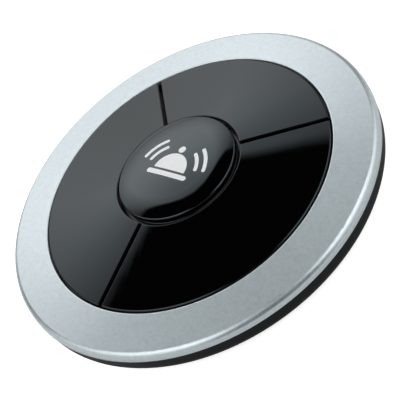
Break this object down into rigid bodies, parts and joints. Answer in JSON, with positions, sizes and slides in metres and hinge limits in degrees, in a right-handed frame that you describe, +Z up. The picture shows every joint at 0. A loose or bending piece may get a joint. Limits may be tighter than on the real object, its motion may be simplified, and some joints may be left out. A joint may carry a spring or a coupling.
{
  "type": "waiter call button",
  "caption": "Flat round desk call button: silver bezel, black tapered base, raised domed centre key and three glossy sector keys that press down on tact switches.",
  "frame": {"origin": "on the desk, under the middle of the button", "axes": "+Z up out of the keys, +Y towards the top of the legend, +X along its reading direction"},
  "size_m": [0.0872, 0.0872, 0.0146],
  "materials": {
    "bezel_silver": "satin silver metallic paint with a fine sand texture",
    "key_gloss": "polished black",
    "base_black": "satin charcoal, finely grained",
    "frame_black": "satin black",
    "foot_rubber": "soft matte",
    "board_green": "solder mask",
    "contact_nickel": "nickel plate",
    "cell_steel": "satin",
    "chip_black": "moulded epoxy",
    "capacitor_tan": "ceramic",
    "antenna_copper": "tinned copper wire",
    "screw_steel": "blackened steel"
  },
  "bodies": {
    "housing": {"base_shell": "base_black", "battery_holder": "frame_black", "bezel_ring": "bezel_silver", "board_screws": "screw_steel", "chip_capacitors": "capacitor_tan", "chip_resistors": "chip_black", "circuit_board": "board_green", "coin_cell": "cell_steel", "encoder_chip": "chip_black", "housing_screws": "screw_steel", "key_frame": "frame_black", "loop_antenna": "antenna_copper", "negative_contact": "contact_nickel", "positive_clip": "contact_nickel", "resonator": "contact_nickel", "rubber_feet": "foot_rubber", "switch_case_centre": "frame_black", "switch_case_left": "frame_black", "switch_case_right": "frame_black", "switch_case_top": "frame_black", "switch_cover_centre": "contact_nickel", "switch_cover_left": "contact_nickel", "switch_cover_right": "contact_nickel", "switch_cover_top": "contact_nickel", "switch_dome_centre": "contact_nickel", "switch_dome_left": "contact_nickel", "switch_dome_right": "contact_nickel", "switch_dome_top": "contact_nickel", "transistor": "chip_black"},
    "centre_button": {"centre_key": "key_gloss", "switch_plunger_centre": "frame_black"},
    "top_button": {"sector_key_top": "key_gloss", "switch_plunger_top": "frame_black"},
    "left_button": {"sector_key_left": "key_gloss", "switch_plunger_left": "frame_black"},
    "right_button": {"sector_key_right": "key_gloss", "switch_plunger_right": "frame_black"},
    "battery_cover": {"battery_door": "base_black"}
  },
  "joints": [
    {"name": "centre_key_press", "type": "slide", "parent": "housing", "child": "centre_button", "axis": [0, 0, -1], "range_m": [0, 0.0003], "stiffness_N_per_m": 4000, "deforming": ["switch_dome_centre"]},
    {"name": "top_key_press", "type": "slide", "parent": "housing", "child": "top_button", "axis": [0, 0, -1], "range_m": [0, 0.0003], "stiffness_N_per_m": 4000, "deforming": ["switch_dome_top"]},
    {"name": "left_key_press", "type": "slide", "parent": "housing", "child": "left_button", "axis": [0, 0, -1], "range_m": [0, 0.0003], "stiffness_N_per_m": 4000, "deforming": ["switch_dome_left"]},
    {"name": "right_key_press", "type": "slide", "parent": "housing", "child": "right_button", "axis": [0, 0, -1], "range_m": [0, 0.0003], "stiffness_N_per_m": 4000, "deforming": ["switch_dome_right"]},
    {"name": "battery_door_turn", "type": "hinge", "parent": "housing", "child": "battery_cover", "pos_m": [0, 0, 0.0015], "axis": [0, 0, 1], "range_deg": [0, 40]}
  ]
}
